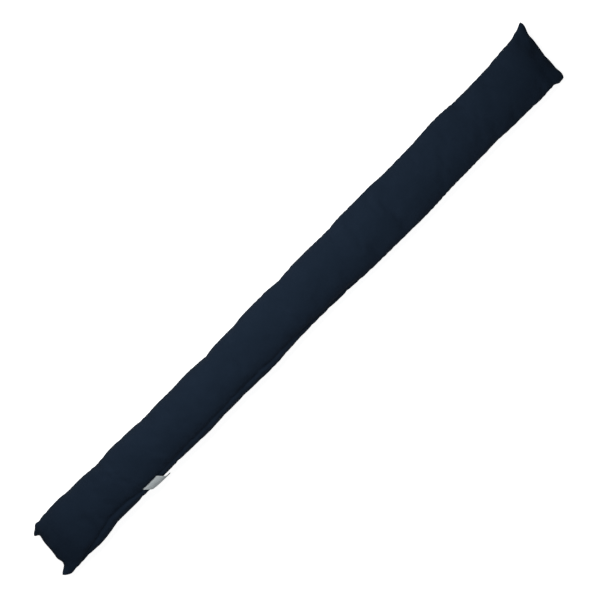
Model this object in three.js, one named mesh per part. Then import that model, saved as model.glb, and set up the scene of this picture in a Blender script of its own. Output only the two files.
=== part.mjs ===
// Draught excluder: a long tube of two cloth panels sewn together all round and stuffed firm,
// lying on its back, with a soft care label caught in one of its side seams.
// Millimetres. +X runs along the tube, away from the label's end. +Y runs across it, away from
// the label's seam. +Z is up, and the cloth rests on z = 0 under the middle of the piece.

import * as THREE from 'three';
import { LoftGeometry } from 'three/addons/geometries/LoftGeometry.js';

// Stuffed cover
const GIRTH = 198; // once round the tube: two panels of about 100, less what the seams take
const SEAM_THICKNESS = 1.4; // the layers of cloth pressed together at a seam
const RESTING_DENT = 2.6; // how far the tube's own weight flattens its underside
const END_TAPER = 44; // length over which the stuffing thins out towards an end seam
const TAPER_ROUNDNESS = 0.55; // 0.5 would round the ends fully, and more makes them sharper
const NEARBY = 38; // the height follows the mean width this far to each side, so it changes slowly
const END_DROOP = 3; // how far an end seam sinks below the tube's axis
const SEAM_PINCH = 1.15; // above 1 the panels meet at a point along the seams
const LEAN_FADE = 70; // length over which a slanting end seam straightens out
const EAR_FADE = 16; // length over which an ear's pull on the cloth fades
const EAR_POINT = 1.5; // above 1 the ears are hollow sided and pointed
const GATHER_DEPTH = 1.1; // soft folds where a panel is drawn in at an end seam
const GATHER_REACH = 26; // length of those folds
const GATHER_START = 4; // they begin flat at the seam and are full this far inside it
const GATHER_TURNS = 11; // radians of fold across half a panel

// The stuffing's unevenness, as two waves that wander round the tube
const lumps = [
	{ height: 0.41, radiansPerMillimetre: 1 / 33, twist: 2.1 },
	{ height: 0.29, radiansPerMillimetre: 1 / 15, twist: -2.6 },
];

// Mesh steps
const PANEL_STEPS = 15; // round each panel, seam to seam
const MIDDLE_STEPS = 78; // along the tube between its two tapered ends
const TAPER_DEPTHS = [0, 1.2, 3, 6, 10, 15, 21, 28, 36]; // from an end seam inwards

// Care label: a folded tape, held in the seam and hanging down the tube's side
const LABEL_MIDDLE = -298; // where it leaves the seam, along the tube
const LABEL_WIDTH = 24.5;
const LABEL_THICKNESS = 1;
const LABEL_SKEW = 0.33; // how far it leans along the tube for each millimetre that it hangs
const LABEL_GAP = 0.4; // from the seam's edge
const LABEL_COLUMNS = 4;
const LABEL_STEPS = 14;

// The tube seen from above, a row for each place where its width or its lie changes.
// low and high are its edges across, and roll is how many degrees it lies turned about its
// axis, which lifts the label's seam and lowers the other one.
const widths = [
	{ along: -435, low: -37.6, high: 36.9, roll: 8 },
	{ along: -418, low: -37.1, high: 38.2, roll: 10 },
	{ along: -395, low: -38.0, high: 38.9, roll: 16 },
	{ along: -375, low: -36.2, high: 37.5, roll: 23 },
	{ along: -357, low: -33.8, high: 37.2, roll: 29 },
	{ along: -328, low: -34.1, high: 35.2, roll: 34 },
	{ along: -300, low: -33.9, high: 36.9, roll: 34 },
	{ along: -266, low: -34.1, high: 35.6, roll: 36 },
	{ along: -240, low: -34.3, high: 34.1, roll: 38 },
	{ along: -217, low: -35.3, high: 34.8, roll: 39 },
	{ along: -194, low: -35.8, high: 34.3, roll: 39 },
	{ along: -168, low: -35.0, high: 35.1, roll: 38 },
	{ along: -136, low: -34.9, high: 33.8, roll: 37 },
	{ along: -112, low: -35.5, high: 34.8, roll: 37 },
	{ along: -86, low: -36.3, high: 35.3, roll: 36 },
	{ along: -57, low: -34.8, high: 36.9, roll: 35 },
	{ along: -30, low: -33.8, high: 37.0, roll: 33 },
	{ along: -2, low: -33.7, high: 35.1, roll: 31 },
	{ along: 24, low: -34.4, high: 36.6, roll: 30 },
	{ along: 54, low: -34.9, high: 36.6, roll: 26 },
	{ along: 84, low: -37.1, high: 35.8, roll: 19 },
	{ along: 112, low: -38.0, high: 37.4, roll: 13 },
	{ along: 156, low: -38.7, high: 37.0, roll: 9 },
	{ along: 190, low: -39.2, high: 35.8, roll: 8 },
	{ along: 235, low: -37.6, high: 36.0, roll: 7 },
	{ along: 283, low: -37.2, high: 38.2, roll: 6 },
	{ along: 320, low: -36.6, high: 35.8, roll: 6 },
	{ along: 350, low: -38.2, high: 36.0, roll: 5 },
	{ along: 372, low: -38.3, high: 36.3, roll: 5 },
	{ along: 396, low: -39.4, high: 38.2, roll: 5 },
	{ along: 418, low: -38.5, high: 39.6, roll: 5 },
];

// The two end seams. middle is where the seam crosses the axis, and lean is how much further
// along its high side lies. outward is the way out of the tube.
const endSeams = [
	{ outward: -1, middle: -445.2, lean: 2.6 },
	{ outward: 1, middle: 435.2, lean: 2.9 },
];

// The four corner ears. side is the edge that each one stands on, along and across are its tip,
// reach and fall shape the edge behind it, and root is the share of the half width that stays
// plain before the ear rises out of the end seam.
const ears = [
	{ outward: -1, side: -1, along: -456, across: -31.5, reach: 6, fall: 0.35, root: 0.74 },
	{ outward: -1, side: 1, along: -447.4, across: 28, reach: 7, fall: 0.8, root: 0.74 },
	{ outward: 1, side: -1, along: 431.2, across: -41.6, reach: 13, fall: 2, root: 0.8 },
	{ outward: 1, side: 1, along: 443, across: 45.9, reach: 18, fall: 0.6, root: 0.6 },
];

// The label's path from the seam, seen along the tube: out from the seam, then up.
const labelPath = [
	{ out: 0, up: 0 },
	{ out: 2.2, up: 0.9 },
	{ out: 4.5, up: -0.8 },
	{ out: 6.5, up: -5 },
	{ out: 7.9, up: -12 },
	{ out: 8.8, up: -21 },
	{ out: 9.2, up: -32 },
];

// Reads one column of the widths table between its rows, without overshooting them.
function widthAt( column, along ) {

	const last = widths.length - 1;
	if ( along <= widths[ 0 ].along ) return widths[ 0 ][ column ];
	if ( along >= widths[ last ].along ) return widths[ last ][ column ];

	const next = widths.findIndex( ( row ) => row.along > along );
	const gradient = ( k ) =>
		( widths[ k ][ column ] - widths[ k - 1 ][ column ] ) / ( widths[ k ].along - widths[ k - 1 ].along );
	const slope = ( k ) => {

		if ( k === 0 || k === last || gradient( k ) * gradient( k + 1 ) <= 0 ) return 0;
		return 2 * gradient( k ) * gradient( k + 1 ) / ( gradient( k ) + gradient( k + 1 ) );

	};

	const step = widths[ next ].along - widths[ next - 1 ].along;
	const t = ( along - widths[ next - 1 ].along ) / step;
	const start = widths[ next - 1 ][ column ];
	const finish = widths[ next ][ column ];
	const bend = step * ( ( t - 2 * t ** 2 + t ** 3 ) * slope( next - 1 ) + ( t ** 3 - t ** 2 ) * slope( next ) );
	return start + ( finish - start ) * ( 3 * t ** 2 - 2 * t ** 3 ) + bend;

}

function halfWidthAt( along ) {

	return ( widthAt( 'high', along ) - widthAt( 'low', along ) ) / 2;

}

// Falls from 1 at the end seam to 0 at the given length inside it.
function fade( depth, length ) {

	return Math.max( 0, 1 - depth / length ) ** 2;

}

// One ring of the cover. end is the nearer end seam, depth the distance inside it, and the ring
// runs from the high seam over the top to the low seam and back underneath.
function coverRing( end, depth ) {

	const middle = end.middle - end.outward * depth;
	const roll = THREE.MathUtils.degToRad( widthAt( 'roll', middle ) );
	const halfWidth = halfWidthAt( middle );
	const nearbyHalfWidth = ( halfWidthAt( middle - NEARBY ) + halfWidth + halfWidthAt( middle + NEARBY ) ) / 3;
	const halfHeight = Math.sqrt( 2 * ( GIRTH / ( 2 * Math.PI ) ) ** 2 - nearbyHalfWidth ** 2 );
	const fullness = ( 1 - fade( depth, END_TAPER ) ) ** TAPER_ROUNDNESS;
	const axisHeight = halfHeight - RESTING_DENT - END_DROOP * fade( depth, END_TAPER );
	const earOn = ( side ) => ears.find( ( ear ) => ear.outward === end.outward && ear.side === side );

	const alongAt = ( share ) => {

		const ear = earOn( Math.sign( share ) || 1 );
		const pull = ear.along - end.middle - ear.side * end.lean;
		const rise = Math.max( 0, ( Math.abs( share ) - ear.root ) / ( 1 - ear.root ) ) ** EAR_POINT;
		return middle + end.lean * share * fade( depth, LEAN_FADE ) + pull * rise * fade( depth, EAR_FADE );

	};

	const edgeOn = ( side, column ) => {

		const ear = earOn( side );
		const blend = Math.min( 1, depth / ear.reach ) ** ear.fall;
		return THREE.MathUtils.lerp( ear.across, widthAt( column, alongAt( side ) ), blend );

	};

	const ring = [];
	for ( const panel of [ 1, - 1 ] ) {

		for ( let step = 0; step <= PANEL_STEPS; step ++ ) {

			const turn = panel > 0 ? Math.PI * step / PANEL_STEPS : Math.PI * ( 1 - step / PANEL_STEPS );
			const share = Math.cos( turn );
			const crown = panel * fullness * Math.sin( turn ) ** SEAM_PINCH;
			const along = alongAt( share );
			const lump = lumps.reduce( ( sum, wave ) =>
				sum + wave.height * Math.sin( along * wave.radiansPerMillimetre + wave.twist * share * panel ), 0 );
			const gather = GATHER_DEPTH * fade( depth, GATHER_REACH ) * Math.min( 1, depth / GATHER_START ) *
				Math.cos( GATHER_TURNS * share + panel + end.outward );
			const thickness = panel * ( SEAM_THICKNESS / 2 + Math.sin( turn ) * ( lump * fullness + gather ) );
			ring.push( new THREE.Vector3(
				along,
				halfWidth * ( share * Math.cos( roll ) + crown * Math.sin( roll ) ) + thickness * Math.sin( roll ),
				halfHeight * ( crown * Math.cos( roll ) - share * Math.sin( roll ) ) + thickness * Math.cos( roll ),
			) );

		}

	}

	// The ring is drawn out to the edges seen from above, set down and flattened where it rests.
	const least = Math.min( ...ring.map( ( point ) => point.y ) );
	const most = Math.max( ...ring.map( ( point ) => point.y ) );
	const low = edgeOn( - 1, 'low' );
	const high = edgeOn( 1, 'high' );
	for ( const point of ring ) {

		point.y = THREE.MathUtils.mapLinear( point.y, least, most, low, high );
		point.z = Math.max( 0, point.z + axisHeight );

	}

	return ring;

}

// The nearer end seam and the depth inside it, for a place along the tube.
function ringAt( along ) {

	const end = along < 0 ? endSeams[ 0 ] : endSeams[ 1 ];
	return coverRing( end, Math.abs( along - end.middle ) );

}

function buildCover() {

	const [ labelEnd, farEnd ] = endSeams;
	const innerDepth = TAPER_DEPTHS[ TAPER_DEPTHS.length - 1 ];
	const rings = TAPER_DEPTHS.map( ( depth ) => coverRing( labelEnd, depth ) );

	for ( let step = 1; step < MIDDLE_STEPS; step ++ ) {

		rings.push( ringAt( THREE.MathUtils.lerp(
			labelEnd.middle + innerDepth, farEnd.middle - innerDepth, step / MIDDLE_STEPS ) ) );

	}

	rings.push( ...TAPER_DEPTHS.map( ( depth ) => coverRing( farEnd, depth ) ).reverse() );
	return new LoftGeometry( rings, { capStart: true, capEnd: true } );

}

// The middle of the label's seam at a place along the tube.
function labelSeamAt( along ) {

	const ring = ringAt( along );
	return ring[ PANEL_STEPS ].clone().add( ring[ PANEL_STEPS + 1 ] ).multiplyScalar( 0.5 );

}

function buildLabel() {

	const pathPoints = labelPath.map( ( { out, up } ) => new THREE.Vector3( 0, - out, up ) );
	const path = new THREE.CatmullRomCurve3( pathPoints );
	const hangingLength = path.getLength();
	const sections = [];

	for ( let step = 0; step <= LABEL_STEPS; step ++ ) {

		const place = path.getPointAt( step / LABEL_STEPS );
		const heading = path.getTangentAt( step / LABEL_STEPS );
		const faceUp = new THREE.Vector3( 0, heading.z, - heading.y );
		const skew = LABEL_SKEW * hangingLength * step / LABEL_STEPS;
		const section = [];

		for ( const face of [ 1, - 1 ] ) {

			for ( let column = 0; column <= LABEL_COLUMNS; column ++ ) {

				const across = face * ( column / LABEL_COLUMNS - 0.5 );
				const root = labelSeamAt( LABEL_MIDDLE + LABEL_WIDTH * across );
				root.add( new THREE.Vector3( skew, - LABEL_GAP, 0 ) ).add( place );
				section.push( root.addScaledVector( faceUp, - face * LABEL_THICKNESS / 2 ) );

			}

		}

		sections.push( section );

	}

	return new LoftGeometry( sections, { capStart: true, capEnd: true } );

}

// Soft navy cotton, matt all over
const coverMaterial = new THREE.MeshStandardMaterial( { color: 0x1b2634, roughness: 0.95, metalness: 0 } );
const cover = new THREE.Mesh( buildCover(), coverMaterial );
cover.name = 'cover';

// Plain off-white tape with a faint shine
const labelMaterial = new THREE.MeshStandardMaterial( { color: 0xc9cdcc, roughness: 0.6, metalness: 0 } );
const careLabel = new THREE.Mesh( buildLabel(), labelMaterial );
careLabel.name = 'care_label';

// The whole piece is centred over the origin.
const draughtExcluder = new THREE.Group();
draughtExcluder.add( cover, careLabel );
const box = new THREE.Box3().setFromObject( draughtExcluder );
draughtExcluder.position.set( - ( box.min.x + box.max.x ) / 2, - ( box.min.y + box.max.y ) / 2, - box.min.z );

export default draughtExcluder;
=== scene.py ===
"""Draught excluder: a long tube of two navy cotton panels sewn together all round and stuffed firm,
lying on its back, with a folded tape label caught in one side seam. The tables of the tube's shape
are in millimetres, as a maker would measure them. Everything in Blender is in metres."""

import math

import bmesh
import bpy
import numpy as np
from mathutils import Euler, Matrix, Vector


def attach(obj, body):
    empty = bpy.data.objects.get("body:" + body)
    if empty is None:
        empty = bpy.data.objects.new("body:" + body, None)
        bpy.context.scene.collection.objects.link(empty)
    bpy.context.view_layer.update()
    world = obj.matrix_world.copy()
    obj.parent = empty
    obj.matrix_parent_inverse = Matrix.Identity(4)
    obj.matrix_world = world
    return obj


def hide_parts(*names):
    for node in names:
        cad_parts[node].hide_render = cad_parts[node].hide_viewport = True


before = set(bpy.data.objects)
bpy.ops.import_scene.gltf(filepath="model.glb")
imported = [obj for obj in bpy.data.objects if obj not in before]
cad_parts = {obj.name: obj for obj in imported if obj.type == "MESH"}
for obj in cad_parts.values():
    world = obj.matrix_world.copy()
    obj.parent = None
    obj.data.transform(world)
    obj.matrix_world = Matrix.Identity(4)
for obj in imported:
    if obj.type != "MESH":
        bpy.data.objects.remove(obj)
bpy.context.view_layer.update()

MM = 0.001
BESIDE_THE_FRAME = np.array((6.5, -2.05, 0.0))  # from the tube's own tables to the shared frame

# Stuffed cover
GIRTH = 198  # once round the tube
SEAM_THICKNESS = 1.4
RESTING_DENT = 2.6  # how far the tube's own weight flattens its underside
END_TAPER = 44  # length over which the stuffing thins out towards an end seam
TAPER_ROUNDNESS = 0.55
NEARBY = 38  # the height follows the mean width this far to each side
RING_POINTS = 121  # round each panel from seam to seam
END_STRETCH = 50  # length at each end where the tube is measured in fine steps
FINE_STEP = 0.5
COARSE_STEP = 3
END_DROOP = 3  # how far an end seam sinks below the tube's axis
SEAM_PINCH = 1.15
LEAN_FADE = 70  # length over which a slanting end seam straightens out
EAR_FADE = 16  # length over which an ear's pull on the cloth fades
EAR_POINT = 1.5
GATHER_DEPTH = 1.1  # soft folds where a panel is drawn in at an end seam
GATHER_REACH = 26
GATHER_START = 4
GATHER_TURNS = 11

# The stuffing's unevenness: height, radians for each millimetre along, twist round the tube
LUMPS = ((0.41, 1 / 33, 2.1), (0.29, 1 / 15, -2.6))

# The tube seen from above: place along it, its low and high edges across, and how many degrees
# it lies rolled about its axis, which lifts the label's seam
WIDTHS = (
    (-435, -37.6, 36.9, 8),
    (-418, -37.1, 38.2, 10),
    (-395, -38.0, 38.9, 16),
    (-375, -36.2, 37.5, 23),
    (-357, -33.8, 37.2, 29),
    (-328, -34.1, 35.2, 34),
    (-300, -33.9, 36.9, 34),
    (-266, -34.1, 35.6, 36),
    (-240, -34.3, 34.1, 38),
    (-217, -35.3, 34.8, 39),
    (-194, -35.8, 34.3, 39),
    (-168, -35.0, 35.1, 38),
    (-136, -34.9, 33.8, 37),
    (-112, -35.5, 34.8, 37),
    (-86, -36.3, 35.3, 36),
    (-57, -34.8, 36.9, 35),
    (-30, -33.8, 37.0, 33),
    (-2, -33.7, 35.1, 31),
    (24, -34.4, 36.6, 30),
    (54, -34.9, 36.6, 26),
    (84, -37.1, 35.8, 19),
    (112, -38.0, 37.4, 13),
    (156, -38.7, 37.0, 9),
    (190, -39.2, 35.8, 8),
    (235, -37.6, 36.0, 7),
    (283, -37.2, 38.2, 6),
    (320, -36.6, 35.8, 6),
    (350, -38.2, 36.0, 5),
    (372, -38.3, 36.3, 5),
    (396, -39.4, 38.2, 5),
    (418, -38.5, 39.6, 5),
)
LOW, HIGH, ROLL = 1, 2, 3

# How far the cloth has slid round the stuffing, by place along: the low seam moves up over the top
SEAM_SLIDES = (
    (-431, 0), (-418, 6), (-402, 9), (-385, 10), (-365, 8.5), (-345, 5.8), (-332, 4), (-314, -1.5),
    (-300, -2), (-260, -3), (-200, -2), (-150, -0.4), (-100, 1.2), (-70, -1), (-40, -4), (-10, -6),
    (20, -6.5), (80, -5.5), (120, -3), (200, -2), (390, -2), (405, -1), (418, 0),
)

# End seams by the way out of the tube: where the seam crosses the axis, and how much further
# along its high side lies
END_SEAMS = {-1: (-445.2, 2.6), 1: (435.2, 2.9)}

# Corner ears by (way out, side): tip along and across, reach and fall of the edge behind it, and
# the share of the half width that stays plain
EARS = {
    (-1, -1): (-456, -31.5, 6, 0.35, 0.74),
    (-1, 1): (-447.4, 28, 7, 0.8, 0.74),
    (1, -1): (431.2, -41.6, 13, 2, 0.8),
    (1, 1): (443, 45.9, 18, 0.6, 0.6),
}

# The seam round each end, seen from above, in three runs: in along the high side to the ear's tip,
# across the end to the other tip, and back along the low side
END_OUTLINES = {
    -1: (
        (
            (-422.9, 38), (-432.4, 37.1), (-436.4, 38), (-439.3, 36.9), (-442, 35), (-445.4, 32.4),
            (-449, 29.9), (-451.5, 28.2),
        ),
        (
            (-451.5, 28.2), (-449.4, 26), (-445, 24.3), (-444.4, 21.7), (-446.1, 17), (-446.9, 12.7),
            (-447.2, 8), (-447.6, 2), (-448.2, -2), (-449, -6.5), (-449.8, -12), (-449.1, -16),
            (-447.2, -20), (-449, -23.6), (-452.6, -25.8), (-456.3, -27.9), (-458.9, -29.6),
            (-459.2, -31.4),
        ),
        (
            (-459.2, -31.4), (-457.6, -34), (-454.6, -36.6), (-450.8, -38), (-445, -38.7),
            (-437.7, -38), (-430.9, -38.4),
        ),
    ),
    1: (
        (
            (406.3, 39), (419.9, 39.6), (424.3, 40.3), (429.5, 41.9), (435.1, 42.9), (438.5, 44.1),
            (441.6, 47.4), (444.7, 48.4),
        ),
        (
            (444.7, 48.4), (446.7, 45.8), (446.3, 42), (444.6, 37.4), (442.2, 32.5), (441.1, 27),
            (441.1, 22), (440.2, 15), (439.3, 10), (438.6, 5.4), (437.7, -0.8), (437, -6),
            (436.7, -13), (436.2, -18.3), (435.7, -24), (435.4, -28), (435.8, -32), (435.9, -35.5),
            (435.2, -39.4), (433.5, -41.4),
        ),
        (
            (433.3, -41.4), (430.9, -42), (428.3, -42), (426.1, -41.6), (423.5, -40.1), (421.1, -38.7),
            (419, -38.5), (415, -39.4), (406.3, -39),
        ),
    ),
}
OUTLINE_REACH = 10  # how far into the panels the ends' outline is followed
OUTLINE_LIMIT = 3 * OUTLINE_REACH  # nothing further from the seam than this is moved
OUTLINE_LENGTH = 60  # nor anything further along the tube from the end seam
PULL_BLEND = 2.2  # two lengths of seam over which neighbouring pulls on the cloth are averaged
PULL_SPREAD = 3
PULL_EASE = 4  # rows over which a side's pull grows from nothing
RISE_FADE = 9  # length along a side over which an ear's rise fades
EAR_BULK = 1.5  # the folded corners of the seam inside each ear
EAR_BULK_REACH = 7

# How much each end's seam rises or sinks between its tips: share of the way, millimetres
END_HEIGHTS = {
    -1: ((0, -2.5), (0.2, -0.5), (0.45, 1.2), (0.7, -0.6), (0.88, 0.8), (1, 3.2)),
    1: ((0, 3.4), (0.15, 1.2), (0.4, -1.2), (0.65, 0.9), (0.85, 0), (1, -3.5)),
}

# The two flat panels as cut, inside the seam
PANEL_WIDTH = 100
SEAM_STEPS = (0, 1.1, 2.6, 4.6)  # rows of cloth beside a seam, where it rolls over into the stitches
COLUMNS = 25  # even steps across a panel between those rows
ROWS = 248  # and along it
PANELS_APART = 1.3 * PANEL_WIDTH  # the back panel from the top one, where both lie flat

# Sewing
SEAM_DRAWN_IN = 2.1  # how far the stitches draw the seam into the tube
CORNER_FADE = 9  # the seam is flat at the ears and takes its full depth over this length

# Beside the stitches the cloth rolls out again: distances from the seam, and how far the cloth
# stands out there
LIP_INSETS = (0, 1.1, 2.6, 4.6, 8.5, 13, 18, 25)
VALLEY_ROLL = (-2.1, -1.6, -1.1, -0.6, -0.2, 0.1, 0.15, 0)  # top panel, where the tube is rolled
LIP_ROLL = (-2.1, -0.9, 0.2, 0.9, 1.05, 0.6, 0.15, 0)
FULL_LIP_ROLL = (-2.1, -0.6, 0.7, 1.5, 1.75, 1.15, 0.4, 0)  # top panel's low side, where it isn't
FULL_VALLEY_AT = 36  # degrees of roll
END_LIP_SHARE = 0.55  # the lips beside the end seams are smaller
END_DRAWN_SHARE = 0.5  # and of that share the end seams are drawn in by this much
LIP_UNEVENNESS = 0.25

# Puckers: small uneven waves in the cloth beside a seam
PUCKER_DEPTH = 0.42
PUCKER_REACH = 11  # how far into the panel a pucker runs
PUCKER_FALL = 1.5
PUCKER_SPACING = 12.5
END_PUCKER_SHARE = 0.5
WAVE_STRETCHES = (0.62, 0.83, 1.0, 1.31, 1.9)  # of the spacing, for the sines that make a wave
WAVE_HEIGHT = 3  # about the most that their sum reaches
SIDE_SEED = 10
END_SEED = 20

# Inflating the cover
FRAMES = 24
PRESSURE = 3
SPARE_CLOTH = -0.012  # the cloth is cut this much longer than the stuffing needs
SIDE_HOLD = 0.7  # how firmly the side seams stay where they are, when the end seams' hold is 1
PANEL_HOLD = 0.04
WRINKLE_REACH = 9  # rows: slower swelling than this is left to the measured shape
WRINKLE_SHARE = 0.8  # of what the trial finds
MOVE_LIMIT = 2.4

# The finished edges stand this far outside the measured ones, for the cloth's own thickness
CLOTH_ALLOWANCE = {LOW: 1.15, HIGH: 1.05}
END_ROWS = 3  # rows at each end that keep the end's outline instead

# Care label
LABEL_MIDDLE = -296.6
LABEL_WIDTH = 24.6
LABEL_HANG = 40
LABEL_PLY = 0.3
LABEL_GAP = 0.55  # between the middles of the two layers where they lie close
LABEL_OPEN = 0.5  # how much further apart they stand just above the fold
LABEL_OPEN_AT = 5  # from the fold, and as much to each side of that
FOLD_RADIUS = 1
LABEL_CURL = 0.5  # how far the tape's long edges bend away from its face
LABEL_WAVE = 0.35
LABEL_WAVE_LENGTH = 6  # for each radian
LABEL_TWIST = 0.05  # one long edge stands out further than the other, in full this far down
LABEL_TWIST_BY = 10
LABEL_TILT = 0.6  # and one lies higher, in full this far down
LABEL_TILT_BY = 15
LABEL_STEPS = (56, 14)  # along the tape and across it
HEADING_STEP = 1.2  # length to each side over which the tape's direction is taken

# The tape's way from the seam: length hung, out, up, and how far it has strayed along the tube
LABEL_WAY = (
    (0, -2.3, -1.1, -1.0),
    (3, 0.1, -0.2, 0.4),
    (6, 2.3, -0.6, 2.4),
    (9, 4.5, -1.4, 4.3),
    (12, 6.4, -2.9, 6.1),
    (14, 7.3, -4.4, 7.1),
    (16.5, 7.9, -6.6, 8.1),
    (21, 8.2, -10.8, 9.3),
    (28, 8.3, -17.7, 10.4),
    (40, 8.3, -29.6, 11.6),
)

# Colours
NAVY = (0.0078, 0.0152, 0.0280)
NAVY_WORN = (0.0112, 0.0205, 0.0370)
TAPE = (0.446, 0.488, 0.497)
TAPE_SOILED = (0.378, 0.41, 0.42)
SHEEN_TINT = (0.55, 0.7, 1.0)
FLOOR_GREY = (0.52, 0.52, 0.52)
SKY = (0.93, 0.96, 1.0)


# Camera

FLOOR_VIEW = 0.7572  # width that the camera takes in at the tube's middle height
CAMERA_SPOT = (0.0052, -0.0033, 3.0)
SENSOR_WIDTH = 36
TUBE_MIDDLE_HEIGHT = 0.025
TUBE_TURN = math.radians(45.35)  # the tube lies this much turned in the picture


def add_object(name, data):
    made = bpy.data.objects.new(name, data)
    bpy.context.scene.collection.objects.link(made)
    return made


camera_data = bpy.data.cameras.new("Camera")
camera_data.sensor_width = SENSOR_WIDTH
camera_data.lens = SENSOR_WIDTH * (CAMERA_SPOT[2] - TUBE_MIDDLE_HEIGHT) / FLOOR_VIEW
camera = add_object("Camera", camera_data)
camera.location = CAMERA_SPOT
camera.rotation_euler = Euler((0, 0, -TUBE_TURN))
bpy.context.scene.camera = camera


# Shape of the stuffed tube

def width_at(column, along):
    """Reads one column of the widths table between its rows, without overshooting them."""
    table = [(row[0], row[column]) for row in WIDTHS]
    last = len(table) - 1
    if along <= table[0][0]:
        return table[0][1]
    if along >= table[last][0]:
        return table[last][1]
    after = next(k for k, row in enumerate(table) if row[0] > along)

    def gradient(k):
        return (table[k][1] - table[k - 1][1]) / (table[k][0] - table[k - 1][0])

    def slope(k):
        if k in (0, last) or gradient(k) * gradient(k + 1) <= 0:
            return 0
        return 2 * gradient(k) * gradient(k + 1) / (gradient(k) + gradient(k + 1))

    step = table[after][0] - table[after - 1][0]
    t = (along - table[after - 1][0]) / step
    start, finish = table[after - 1][1], table[after][1]
    bend = step * ((t - 2 * t**2 + t**3) * slope(after - 1) + (t**3 - t**2) * slope(after))
    return start + (finish - start) * (3 * t**2 - 2 * t**3) + bend


def half_width_at(along):
    return (width_at(HIGH, along) - width_at(LOW, along)) / 2


def fade(depth, length):
    """Falls from 1 at the end seam to 0 at the given length inside it."""
    return max(0, 1 - depth / length) ** 2


def tube_ring(middle, turns):
    """Points of the two panels round the tube where its axis is at middle: a row for the top
    panel and one for the back, each from the high seam to the low seam."""
    outward = -1 if middle < 0 else 1
    seam_middle, lean = END_SEAMS[outward]
    depth = abs(seam_middle - middle)
    roll = math.radians(width_at(ROLL, middle))
    half_width = half_width_at(middle)
    nearby = (half_width_at(middle - NEARBY) + half_width + half_width_at(middle + NEARBY)) / 3
    # the height that leaves an oval of this width the same girth
    half_height = math.sqrt(2 * (GIRTH / (2 * math.pi)) ** 2 - nearby**2)
    fullness = (1 - fade(depth, END_TAPER)) ** TAPER_ROUNDNESS
    axis_height = half_height - RESTING_DENT - END_DROOP * fade(depth, END_TAPER)

    share = np.cos(turns)
    side = np.where(share >= 0, 1, -1)

    def of_ear(column):
        return np.where(side > 0, EARS[outward, 1][column], EARS[outward, -1][column])

    pull = of_ear(0) - seam_middle - side * lean
    root = of_ear(4)
    rise = np.maximum(0, (np.abs(share) - root) / (1 - root)) ** EAR_POINT
    along = middle + lean * share * fade(depth, LEAN_FADE) + pull * rise * fade(depth, EAR_FADE)

    edges = []
    for edge_side, column, k in ((-1, LOW, -1), (1, HIGH, 0)):
        tip_across, reach, fall = EARS[outward, edge_side][1:4]
        blend = min(1, depth / reach) ** fall
        edges.append(tip_across + (width_at(column, along[k]) - tip_across) * blend)

    panels = []
    for panel in (1, -1):
        crown = panel * fullness * np.sin(turns) ** SEAM_PINCH
        lump = sum(h * np.sin(along * rate + twist * share * panel) for h, rate, twist in LUMPS)
        gather = (
            GATHER_DEPTH
            * fade(depth, GATHER_REACH)
            * min(1, depth / GATHER_START)
            * np.cos(GATHER_TURNS * share + panel + outward)
        )
        thickness = panel * (SEAM_THICKNESS / 2 + np.sin(turns) * (lump * fullness + gather))
        across = half_width * (share * math.cos(roll) + crown * math.sin(roll))
        height = half_height * (crown * math.cos(roll) - share * math.sin(roll))
        across = across + thickness * math.sin(roll)
        height = height + thickness * math.cos(roll)
        panels.append(np.stack((along, across, height), axis=-1))
    ring = np.array(panels)
    least, most = ring[..., 1].min(), ring[..., 1].max()
    ring[..., 1] = edges[0] + (ring[..., 1] - least) * (edges[1] - edges[0]) / (most - least)
    ring[..., 2] = np.maximum(0, ring[..., 2] + axis_height)
    return ring


def arc_lengths(points):
    """Length along each row of points, from its first one."""
    steps = np.linalg.norm(np.diff(points, axis=0), axis=-1)
    return np.concatenate(([0.0], np.cumsum(steps)))


def steps_from_seam_to_seam(total, even_steps):
    inner = np.linspace(SEAM_STEPS[-1], total - SEAM_STEPS[-1], even_steps + 1)
    near = np.array(SEAM_STEPS[:-1])
    return np.concatenate((near, inner, total - near[::-1]))


def around(loop, run, wanted):
    """Points at the wanted lengths round a closed loop, whose own points lie at the lengths run."""
    return np.stack([np.interp(wanted % run[-1], run, loop[:, k]) for k in range(3)], axis=-1)


def formed_tube():
    """The stuffed tube's panels as a grid of points (panel, row along, column across), and the
    flat places of the rows and the columns in the cloth."""
    fine_turns = np.linspace(0, math.pi, RING_POINTS)
    crown_turns = np.array((0, math.pi / 2, math.pi))
    start, finish = END_SEAMS[-1][0], END_SEAMS[1][0]
    inner_start, inner_finish = start + END_STRETCH, finish - END_STRETCH
    spots = np.concatenate(
        (
            np.arange(start, inner_start, FINE_STEP),
            np.arange(inner_start, inner_finish, COARSE_STEP),
            np.arange(inner_finish, finish, FINE_STEP),
            [finish],
        )
    )
    # the line that a tape laid along the top would take: midway across, and as high as the crown
    crown = []
    for spot in spots:
        ring = tube_ring(spot, crown_turns)
        along, across, _ = ring[:, 1].mean(axis=0)
        crown.append((along, across, ring[0, 1, 2]))
    lengths = arc_lengths(np.array(crown))
    rows = steps_from_seam_to_seam(lengths[-1], ROWS)
    columns = steps_from_seam_to_seam(PANEL_WIDTH, COLUMNS)
    shares = columns / PANEL_WIDTH
    grid = []
    for spot in np.interp(rows, lengths, spots):
        top, back = tube_ring(spot, fine_turns)
        loop = np.concatenate((top, back[::-1], top[:1]))
        run = arc_lengths(loop)
        low_of_top, low_of_back, high_of_back = run[len(top) - 1], run[len(top)], run[-2]
        slide = np.interp(spot, *np.transpose(SEAM_SLIDES))
        over = around(loop, run, shares * low_of_top - slide)
        under = around(loop, run, high_of_back + shares * (low_of_back - high_of_back) - slide)
        grid.append((over, under))
    return np.array(grid).transpose(1, 0, 2, 3), rows, columns


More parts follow.
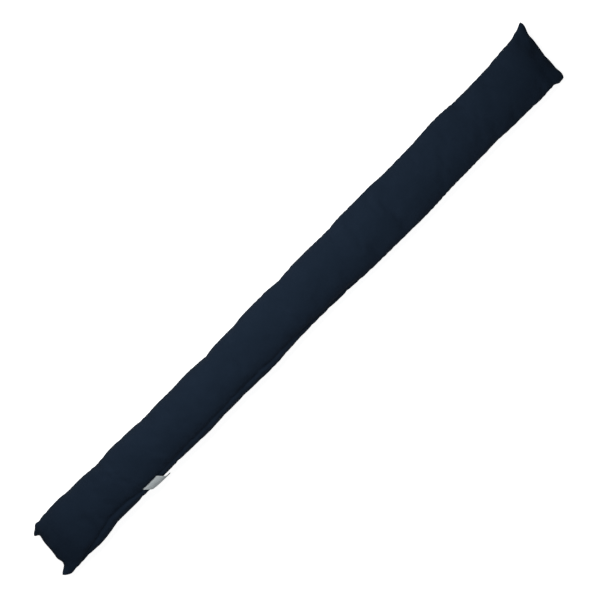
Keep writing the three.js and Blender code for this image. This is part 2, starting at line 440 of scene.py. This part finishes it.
def spaced_like(points, corners):
    """Points along the corners' line, as far apart, for its whole length, as points are."""
    run, way = arc_lengths(points[:, :2]), arc_lengths(corners)
    wanted = run / run[-1] * way[-1]
    return np.stack([np.interp(wanted, way, corners[:, k]) for k in (0, 1)], axis=-1)


def tailored_end(points, outward):
    """Draws the cloth out to an end's outline, most at the seam and less further in, fills the
    ears with the seam's folded corners, and lets the seam rise and sink."""
    seam = points.mean(axis=0)
    end_row = 0 if outward < 0 else len(seam) - 1
    runs = [np.array(run, dtype=float) for run in END_OUTLINES[outward]]

    def side_rows(column, reached):
        rows = np.arange(len(seam)) if outward < 0 else np.arange(len(seam))[::-1]
        depth = np.abs(seam[rows, column, 0] - reached)
        return rows[: int(np.argmin(depth)) + 1]

    high, low = side_rows(0, runs[0][0, 0]), side_rows(-1, runs[2][-1, 0])
    before = [seam[high[::-1], 0], seam[end_row], seam[low, -1]]
    after = [spaced_like(old, new) for old, new in zip(before, runs)]
    old_seam = np.concatenate(before)
    pull = np.zeros_like(old_seam)
    pull[:, :2] = np.concatenate(after) - old_seam[:, :2]
    # the sides' pull fades out where the outline meets the rest of the tube
    for start, count, order in ((0, len(high), 1), (len(old_seam) - len(low), len(low), -1)):
        ease = np.clip(np.arange(count) / PULL_EASE, 0, 1)[::order, None]
        pull[start : start + count] *= ease
    heights = np.array(END_HEIGHTS[outward], dtype=float)
    way = arc_lengths(before[1][:, :2])
    rises = np.interp(way / way[-1], heights[:, 0], heights[:, 1])
    pull[len(high) : len(high) + len(rises), 2] = rises
    fall_off = np.exp(-arc_lengths(before[2][:, :2]) / RISE_FADE)
    pull[-len(low) :, 2] = rises[-1] * fall_off
    fall_off = np.exp(-arc_lengths(before[0][::-1][:, :2]) / RISE_FADE)[::-1]
    pull[: len(high), 2] = rises[0] * fall_off

    tips = np.array([after[1][0], after[1][-1]])
    for panel in (0, 1):
        for row in range(len(seam)):
            if abs(seam[row, 0, 0] - seam[end_row, 0, 0]) > OUTLINE_LENGTH:
                continue
            for column in range(seam.shape[1]):
                point = points[panel, row, column]
                apart = np.linalg.norm(old_seam[:, :2] - point[:2], axis=1)
                nearest = apart.min()
                if nearest > OUTLINE_LIMIT:
                    continue
                further = apart - nearest
                weights = np.exp(-((further / PULL_BLEND) ** 2) - further / PULL_SPREAD)
                moved = (weights[:, None] * pull).sum(axis=0) / weights.sum()
                point += moved * math.exp(-((nearest / OUTLINE_REACH) ** 2))
                to_tip = np.linalg.norm(tips - point[:2], axis=1).min()
                inset = min(1, nearest / SEAM_STEPS[1])
                bulk = EAR_BULK * math.exp(-((to_tip / EAR_BULK_REACH) ** 2)) * inset
                point[2] += bulk if panel == 0 else -bulk
    return points


formed, row_places, column_places = formed_tube()
for way_out in (-1, 1):
    formed = tailored_end(formed, way_out)
seam_line = formed.mean(axis=0)
SEWN_EDGES = (np.s_[:, 0], np.s_[:, -1], np.s_[:, :, 0], np.s_[:, :, -1])
for edge in SEWN_EDGES:
    formed[edge] = seam_line[edge[1:]]
formed[..., 2] = np.maximum(formed[..., 2], 0)
LAST_ROW, LAST_COLUMN = len(row_places) - 1, len(column_places) - 1


# Sewing two panels into a bag

NUMBERS = ("panel", "row", "column")
WELD_DISTANCE = 0.0001  # on panels one unit long and wide, before they take their shape


def sewn_panels():
    """Two panels of cloth joined all round, with each corner of the weave's squares numbered by
    panel, row and column, and the flat cloth as the UV map in metres."""
    bag = bmesh.new()
    panel_layer, row_layer, column_layer = (bag.verts.layers.int.new(name) for name in NUMBERS)
    flat_cloth = bag.loops.layers.uv.new("Cloth")
    for panel in (0, 1):
        grid = bmesh.ops.create_grid(bag, x_segments=LAST_ROW, y_segments=LAST_COLUMN, size=0.5)
        made = grid["verts"]
        for corner in made:
            row = round((corner.co.x + 0.5) * LAST_ROW)
            column = round((0.5 - corner.co.y) * LAST_COLUMN)
            corner[panel_layer], corner[row_layer], corner[column_layer] = panel, row, column
            inside = 0 < row < LAST_ROW and 0 < column < LAST_COLUMN
            corner.co.z = (1 - 2 * panel) * inside
        faces = {face for corner in made for face in corner.link_faces}
        for face in faces:
            for loop in face.loops:
                loop[flat_cloth].uv = (
                    row_places[loop.vert[row_layer]] * MM,
                    (column_places[loop.vert[column_layer]] + panel * PANELS_APART) * MM,
                )
        if panel:
            bmesh.ops.reverse_faces(bag, faces=list(faces))
    bmesh.ops.remove_doubles(bag, verts=bag.verts, dist=WELD_DISTANCE)
    return bag


bag = sewn_panels()
bag.verts.ensure_lookup_table()
layers = [bag.verts.layers.int[name] for name in NUMBERS]
numbering = np.array([[corner[layer] for layer in layers] for corner in bag.verts])
cover_mesh = bpy.data.meshes.new("draught_excluder_cover")
bag.to_mesh(cover_mesh)
bag.free()
panel_of, row_of, column_of = numbering.T


def place(mesh_or_key, points):
    """Moves a mesh's or a shape key's corners to the points of the grid, in the shared frame."""
    spots = (points[panel_of, row_of, column_of] + BESIDE_THE_FRAME) * MM
    data = mesh_or_key.vertices if hasattr(mesh_or_key, "vertices") else mesh_or_key.data
    data.foreach_set("co", spots.astype(np.float32).ravel())


place(cover_mesh, formed)


# Stuffing

def stuffed(start):
    """Lets the pressure of the stuffing act on the cloth, with its lengths taken from the flat
    panels, so that cloth that has no room wrinkles. The seams hold it."""
    mesh = cover_mesh.copy()
    trial = add_object("stuffing trial", mesh)
    trial.shape_key_add(name="Stuffed")
    cut = trial.shape_key_add(name="Flat cloth")
    flat = np.zeros_like(start)
    flat[..., 0] = row_places[None, :, None] - row_places[-1] / 2
    flat[..., 1] = PANEL_WIDTH / 2 - column_places[None, None, :]
    place(cut, flat)
    cut.value = 0

    held = trial.vertex_groups.new(name="held")
    end_rows = np.minimum(row_of, LAST_ROW - row_of)
    edge_columns = np.minimum(column_of, LAST_COLUMN - column_of)
    for hold, pick in (
        (1, end_rows == 0),
        (SIDE_HOLD, (edge_columns == 0) & (end_rows > 0)),
        (PANEL_HOLD, (edge_columns > 0) & (end_rows > 0)),
    ):
        held.add(np.flatnonzero(pick).tolist(), hold, "REPLACE")

    cloth = trial.modifiers.new("Cloth", "CLOTH")
    settings = cloth.settings
    settings.quality = 6
    settings.mass = 0.2
    settings.air_damping = 2
    settings.tension_stiffness = settings.compression_stiffness = 30
    settings.shear_stiffness = 10
    settings.bending_stiffness = 0.4
    settings.tension_damping = settings.compression_damping = settings.shear_damping = 5
    settings.use_pressure = True
    settings.uniform_pressure_force = PRESSURE
    settings.effector_weights.gravity = 0
    settings.shrink_min = SPARE_CLOTH
    settings.vertex_group_mass = held.name
    settings.rest_shape_key = cut
    cloth.collision_settings.use_collision = False
    cloth.collision_settings.use_self_collision = False
    cloth.point_cache.frame_start = 1
    cloth.point_cache.frame_end = FRAMES
    for tick in range(1, FRAMES + 1):
        bpy.context.scene.frame_set(tick)
    worn = trial.evaluated_get(bpy.context.evaluated_depsgraph_get())
    spots = np.empty(len(worn.data.vertices) * 3, np.float32)
    worn.data.vertices.foreach_get("co", spots)
    spots = spots.reshape(-1, 3).astype(float) / MM - BESIDE_THE_FRAME
    result = start.copy()
    result[panel_of, row_of, column_of] = spots
    for edge in SEWN_EDGES:
        result[edge] = result[(0, *edge[1:])]
    bpy.context.scene.frame_set(1)
    bpy.data.objects.remove(trial)
    bpy.data.meshes.remove(mesh)
    return result


def slow_part(values, reach):
    """values smoothed along the tube over about reach rows to each side."""
    edge = 2 * reach
    steps = np.arange(-edge, edge + 1)
    weights = np.exp(-0.5 * (steps / reach) ** 2)
    padded = np.concatenate((values[:, [0] * edge], values, values[:, [-1] * edge]), axis=1)
    total = sum(w * padded[:, k : k + values.shape[1]] for k, w in enumerate(weights))
    return total / weights.sum()


shaped = formed.copy()
swelling = stuffed(formed) - formed
wrinkles = swelling - slow_part(swelling, WRINKLE_REACH)
size = np.linalg.norm(wrinkles, axis=-1, keepdims=True)
wrinkles *= WRINKLE_SHARE * np.minimum(1, MOVE_LIMIT / np.maximum(size, MOVE_LIMIT))
shaped += wrinkles


# Seams

def outward_directions(points):
    """Unit directions out of the cloth at each point of the grid."""
    along = np.gradient(points, axis=1)
    across = np.gradient(points, axis=2)
    normals = np.cross(along, -across)
    normals[1] *= -1
    normals /= np.maximum(np.linalg.norm(normals, axis=-1, keepdims=True), 1e-9)
    return normals


def wandering(places, spacing, seed):
    """A smooth uneven wave along places, about one rise for each spacing, about 1 at its most."""
    chance = np.random.default_rng(seed)
    wave = np.zeros_like(places, dtype=float)
    for stretch in WAVE_STRETCHES:
        wave += np.sin(places * 2 * math.pi / (spacing * stretch) + chance.uniform(0, 2 * math.pi))
    return wave / WAVE_HEIGHT


def pucker_reach(inset):
    """How much of a pucker is left at a distance from the seam: none on the seam itself."""
    fall = np.clip(1 - inset / PUCKER_REACH, 0, 1) ** PUCKER_FALL
    return fall * np.clip(inset / SEAM_STEPS[1], 0, 1)


normals = outward_directions(shaped)
ring_middle = shaped.mean(axis=(0, 2))
end_inset = np.minimum(row_places, row_places[-1] - row_places)
side_inset = np.minimum(column_places, PANEL_WIDTH - column_places)
row_rolls = np.array([width_at(ROLL, along) for along in ring_middle[:, 0]])
top_is_rolled = np.clip(row_rolls / FULL_VALLEY_AT, 0, 1)[:, None]
for side, seam_column in ((1, 0), (-1, LAST_COLUMN)):
    out = shaped[0, :, seam_column] - ring_middle
    out[:, 0] = 0
    out /= np.linalg.norm(out, axis=-1, keepdims=True)
    inset = column_places if side > 0 else PANEL_WIDTH - column_places
    plain = np.clip(end_inset / CORNER_FADE, 0, 1)[:, None]
    for panel in (0, 1):
        rolled = top_is_rolled if panel == 0 else 0 * top_is_rolled
        plain_lip = FULL_LIP_ROLL if panel == 0 and side < 0 else LIP_ROLL
        valley, lip = (np.interp(inset, LIP_INSETS, roll) for roll in (VALLEY_ROLL, plain_lip))
        roll = (rolled * valley + (1 - rolled) * lip) * (inset > 0)
        wave = wandering(row_places, PUCKER_SPACING, SIDE_SEED + 3 * side + panel)[:, None]
        puckers = PUCKER_DEPTH * wave * pucker_reach(inset)
        depth = puckers + plain * roll * (1 + LIP_UNEVENNESS * wave)
        shaped[panel] += depth[..., None] * normals[panel]
    shaped[:, :, seam_column] -= SEAM_DRAWN_IN * out * plain
for row, order in ((0, 1), (LAST_ROW, -1)):
    inset = np.abs(row_places - row_places[row])
    plain = np.clip(side_inset / CORNER_FADE, 0, 1)
    roll = END_LIP_SHARE * np.interp(inset, LIP_INSETS, LIP_ROLL) * (inset > 0)
    for panel in (0, 1):
        wave = wandering(column_places, PUCKER_SPACING, END_SEED + 3 * order + panel)
        puckers = PUCKER_DEPTH * pucker_reach(inset)[:, None] * (END_PUCKER_SHARE * wave)
        depth = plain * (puckers + roll[:, None])
        shaped[panel] += depth[..., None] * normals[panel]
    shaped[:, row, :, 0] += order * END_LIP_SHARE * SEAM_DRAWN_IN * END_DRAWN_SHARE * plain

# The edges across are set back to the measured ones
for row in range(END_ROWS, LAST_ROW + 1 - END_ROWS):
    near = np.s_[:, row - 1 : row + 2, :, 1]
    least, most = shaped[near].min(), shaped[near].max()
    low_edge = formed[near].min() - CLOTH_ALLOWANCE[LOW]
    high_edge = formed[near].max() + CLOTH_ALLOWANCE[HIGH]
    settled = low_edge + (shaped[:, row, :, 1] - least) * (high_edge - low_edge) / (most - least)
    shaped[:, row, :, 1] = settled

shaped[..., 2] = np.maximum(shaped[..., 2], 0)
place(cover_mesh, shaped)
cover_mesh.shade_smooth()
cover = add_object("draught_excluder_cover", cover_mesh)
rounding = cover.modifiers.new("Subdivision", "SUBSURF")
rounding.levels = rounding.render_levels = 1
rounding.uv_smooth = "PRESERVE_BOUNDARIES"


# Folding the label

def label_seam_at(along):
    """The middle of the low seam at a place along the tube."""
    line = seam_line[:, LAST_COLUMN]
    return np.array([np.interp(along, line[:, 0], line[:, k]) for k in range(3)])


def build_label():
    """The tape folded double, both its ends in the seam, and its fold hanging down."""
    way = np.array(LABEL_WAY, dtype=float)
    tape = bmesh.new()
    flat_cloth = tape.loops.layers.uv.new("Cloth")
    lengthwise, widthwise = LABEL_STEPS
    grid = bmesh.ops.create_grid(tape, x_segments=lengthwise, y_segments=widthwise, size=0.5)
    flat_of = {}
    for corner in grid["verts"]:
        run = (corner.co.x + 0.5) * 2 * LABEL_HANG
        share = corner.co.y  # -0.5 to 0.5 across the tape
        flat_of[corner.index] = (run, share * LABEL_WIDTH)
        back = run > LABEL_HANG
        hung = 2 * LABEL_HANG - run if back else run
        out, up, stray = (np.interp(hung, way[:, 0], way[:, k]) for k in (1, 2, 3))
        ahead, behind = min(hung + HEADING_STEP, LABEL_HANG), max(hung - HEADING_STEP, 0)
        headed = [np.interp((behind, ahead), way[:, 0], way[:, k]) for k in (1, 2)]
        heading = np.array([to - since for since, to in headed])
        heading /= np.linalg.norm(heading)
        room = LABEL_HANG - hung
        gap = LABEL_GAP + LABEL_OPEN * math.exp(-((room - LABEL_OPEN_AT) / LABEL_OPEN_AT) ** 2)
        gap *= math.sqrt(max(0, 1 - (1 - min(room, FOLD_RADIUS) / FOLD_RADIUS) ** 2))
        gap *= -0.5 if back else 0.5
        curl = LABEL_CURL * (2 * share) ** 2 * math.sin(math.pi * hung / LABEL_HANG)
        aside = gap - curl
        root = label_seam_at(LABEL_MIDDLE + LABEL_WIDTH * share)
        twist = 1 + LABEL_TWIST * share * min(1, hung / LABEL_TWIST_BY)
        tilt = LABEL_TILT * share * min(1, hung / LABEL_TILT_BY)
        root += (
            stray + LABEL_WAVE * math.sin(hung / LABEL_WAVE_LENGTH + share),
            -out * twist + aside * heading[1],
            up + aside * heading[0] + tilt,
        )
        corner.co = Vector((root + BESIDE_THE_FRAME) * MM)
    for face in tape.faces:
        for loop in face.loops:
            run, across = flat_of[loop.vert.index]
            loop[flat_cloth].uv = (run * MM, across * MM)
    mesh = bpy.data.meshes.new("label_tape_folded")
    tape.to_mesh(mesh)
    tape.free()
    mesh.shade_smooth()
    label = add_object("label_tape_folded", mesh)
    ply = label.modifiers.new("Solidify", "SOLIDIFY")
    ply.thickness = LABEL_PLY * MM
    ply.offset = 0
    round_off = label.modifiers.new("Subdivision", "SUBSURF")
    round_off.levels = round_off.render_levels = 1
    return label


label = build_label()


# Materials

def math_node(tree, operation, *values):
    """A maths node. A value is a number or another node's socket."""
    node = tree.nodes.new("ShaderNodeMath")
    node.operation = operation
    for socket, value in zip(node.inputs, values):
        if isinstance(value, (int, float)):
            socket.default_value = value
        else:
            tree.links.new(value, socket)
    return node.outputs[0]


def noise_field(tree, vector, scale, detail, roughness):
    node = tree.nodes.new("ShaderNodeTexNoise")
    node.inputs["Scale"].default_value = scale
    node.inputs["Detail"].default_value = detail
    node.inputs["Roughness"].default_value = roughness
    tree.links.new(vector, node.inputs["Vector"])
    return node.outputs[0]


def plain_weave_group():
    """Plain weave: threads along and across the cloth, each going over and under the other."""
    tree = bpy.data.node_groups.new("Plain weave", "ShaderNodeTree")
    tree.interface.new_socket("Vector", in_out="INPUT", socket_type="NodeSocketVector")
    for name in ("Threads along", "Threads across", "Slub"):
        tree.interface.new_socket(name, in_out="INPUT", socket_type="NodeSocketFloat")
    tree.interface.new_socket("Height", in_out="OUTPUT", socket_type="NodeSocketFloat")
    given, result = tree.nodes.new("NodeGroupInput"), tree.nodes.new("NodeGroupOutput")

    def maths(operation, *values):
        return math_node(tree, operation, *values)

    split = tree.nodes.new("ShaderNodeSeparateXYZ")
    tree.links.new(given.outputs["Vector"], split.inputs[0])
    uneven = noise_field(tree, given.outputs["Vector"], scale=260, detail=2, roughness=0.5)
    shift = maths("MULTIPLY", maths("SUBTRACT", uneven, 0.5), given.outputs["Slub"])
    u, v = (
        maths("ADD", maths("MULTIPLY", split.outputs[k], given.outputs[count]), shift)
        for k, count in enumerate(("Threads along", "Threads across"))
    )

    def thread(across, along, sign):
        body = maths("ABSOLUTE", maths("SINE", maths("MULTIPLY", across, math.pi)))
        order = maths("ADD", along, maths("FLOOR", across))
        over = maths("COSINE", maths("MULTIPLY", order, math.pi))
        lift = maths("MULTIPLY_ADD", over, 0.5 * sign, 0.5)
        return maths("MULTIPLY", body, lift)

    warp, weft = thread(u, v, 1), thread(v, u, -1)
    tree.links.new(maths("MAXIMUM", warp, weft), result.inputs["Height"])
    return tree


def mix_colours(tree, factor, first, second):
    node = tree.nodes.new("ShaderNodeMix")
    node.data_type = "RGBA"
    tree.links.new(factor, node.inputs["Factor"])
    for name, value in (("A", first), ("B", second)):
        socket = next(s for s in node.inputs if s.name == name and s.type == "RGBA")
        if isinstance(value, tuple):
            socket.default_value = (*value, 1)
        else:
            tree.links.new(value, socket)
    return next(s for s in node.outputs if s.type == "RGBA")


def bump(tree, height, distance, strength, under=None):
    node = tree.nodes.new("ShaderNodeBump")
    node.inputs["Strength"].default_value = strength
    node.inputs["Distance"].default_value = distance
    tree.links.new(height, node.inputs["Height"])
    if under is not None:
        tree.links.new(under, node.inputs["Normal"])
    return node.outputs[0]


def spread(tree, value, low, high):
    """value from 0 to 1, stretched so that low gives 0 and high gives 1."""
    node = tree.nodes.new("ShaderNodeMapRange")
    node.inputs["From Min"].default_value = low
    node.inputs["From Max"].default_value = high
    tree.links.new(value, node.inputs["Value"])
    return node.outputs[0]


weave = plain_weave_group()


def woven_material(name, threads_along, threads_across, slub):
    """A material of woven cloth, the flat cloth's place in it, and how high its threads stand.
    The threads are counted in a metre."""
    material = bpy.data.materials.new(name)
    material.use_nodes = True
    tree = material.node_tree
    shader = tree.nodes["Principled BSDF"]
    cloth_map = tree.nodes.new("ShaderNodeUVMap")
    cloth_map.uv_map = "Cloth"
    flat = cloth_map.outputs[0]
    threads = tree.nodes.new("ShaderNodeGroup")
    threads.node_tree = weave
    threads.inputs["Threads along"].default_value = threads_along
    threads.inputs["Threads across"].default_value = threads_across
    threads.inputs["Slub"].default_value = slub
    tree.links.new(flat, threads.inputs["Vector"])
    return material, tree, shader, flat, threads.outputs["Height"]


def navy_cotton():
    material, tree, shader, flat, threads = woven_material("navy_cotton", 1550, 1380, slub=0.35)
    place_on_piece = tree.nodes.new("ShaderNodeTexCoord").outputs["Object"]
    patches = noise_field(tree, place_on_piece, scale=34, detail=4, roughness=0.6)
    fading = math_node(tree, "MULTIPLY", spread(tree, patches, low=0.3, high=0.72), 0.55)
    worn = math_node(tree, "MULTIPLY_ADD", threads, 0.45, fading)
    tree.links.new(mix_colours(tree, worn, NAVY, NAVY_WORN), shader.inputs["Base Color"])
    fibres = noise_field(tree, flat, scale=900, detail=3, roughness=0.7)
    rough = math_node(tree, "MULTIPLY_ADD", fibres, 0.14, 0.8)
    tree.links.new(rough, shader.inputs["Roughness"])
    shader.inputs["Specular IOR Level"].default_value = 0.06
    shader.inputs["Sheen Weight"].default_value = 0.004
    shader.inputs["Sheen Roughness"].default_value = 0.35
    shader.inputs["Sheen Tint"].default_value = (*SHEEN_TINT, 1)
    dents = noise_field(tree, place_on_piece, scale=120, detail=4, roughness=0.55)
    creases = bump(tree, dents, distance=0.0007, strength=0.55)
    surface = bump(tree, threads, distance=0.00016, strength=0.7, under=creases)
    tree.links.new(surface, shader.inputs["Normal"])
    return material


def label_tape():
    material, tree, shader, flat, threads = woven_material("label_tape", 2200, 3000, slub=0.15)
    patches = noise_field(tree, flat, scale=160, detail=3, roughness=0.6)
    soiling = math_node(tree, "MULTIPLY", spread(tree, patches, low=0.3, high=0.75), 0.5)
    tree.links.new(mix_colours(tree, soiling, TAPE, TAPE_SOILED), shader.inputs["Base Color"])
    rough = math_node(tree, "MULTIPLY_ADD", threads, -0.15, 0.62)
    tree.links.new(rough, shader.inputs["Roughness"])
    surface = bump(tree, threads, distance=0.00006, strength=0.6)
    tree.links.new(surface, shader.inputs["Normal"])
    return material


cover.data.materials.append(navy_cotton())
label.data.materials.append(label_tape())


# Floor and light

FLOOR_HALF_SIZE = 8
FLOOR_GLOW = 0.2
FLOOR_SEEN_GLOW = 0.73  # added for the camera alone, so that it does not light the cloth

floor_mesh = bpy.data.meshes.new("floor")
slab = bmesh.new()
bmesh.ops.create_grid(slab, x_segments=1, y_segments=1, size=FLOOR_HALF_SIZE)
slab.to_mesh(floor_mesh)
slab.free()
floor = add_object("floor", floor_mesh)
paper = bpy.data.materials.new("pale_floor")
paper.use_nodes = True
paper_shader = paper.node_tree.nodes["Principled BSDF"]
paper_shader.inputs["Base Color"].default_value = (*FLOOR_GREY, 1)
paper_shader.inputs["Roughness"].default_value = 0.9
paper_shader.inputs["Specular IOR Level"].default_value = 0.1
paper_shader.inputs["Emission Color"].default_value = (1, 1, 1, 1)
seen_directly = paper.node_tree.nodes.new("ShaderNodeLightPath").outputs["Is Camera Ray"]
paper.node_tree.links.new(
    math_node(paper.node_tree, "MULTIPLY_ADD", seen_directly, FLOOR_SEEN_GLOW, FLOOR_GLOW),
    paper_shader.inputs["Emission Strength"],
)
floor_mesh.materials.append(paper)

world = bpy.data.worlds.new("Studio")
bpy.context.scene.world = world
world.use_nodes = True
sky = world.node_tree.nodes["Background"]
sky.inputs["Color"].default_value = (*SKY, 1)
sky.inputs["Strength"].default_value = 0.11


def softbox(name, spot, aim, size, power):
    data = bpy.data.lights.new(name, "AREA")
    data.shape = "RECTANGLE"
    data.size, data.size_y = size
    data.energy = power
    facing = (Vector(aim) - Vector(spot)).to_track_quat("-Z", "Y").to_matrix().to_4x4()
    add_object(name, data).matrix_world = Matrix.Translation(spot) @ facing


softbox(
    "main softbox", spot=(-0.05, 0.38, 0.79), aim=(-0.03, 0.0, 0.03), size=(0.6, 0.45), power=7.7
)
softbox(
    "low white card", spot=(0.05, -0.75, 0.10), aim=(0.05, 0.0, 0.03), size=(1.3, 0.16), power=1.2
)

bpy.context.scene.view_settings.view_transform = "Standard"


# What each piece is in the frame

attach(cover, "root")
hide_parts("cover")
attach(label, "root")
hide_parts("care_label")
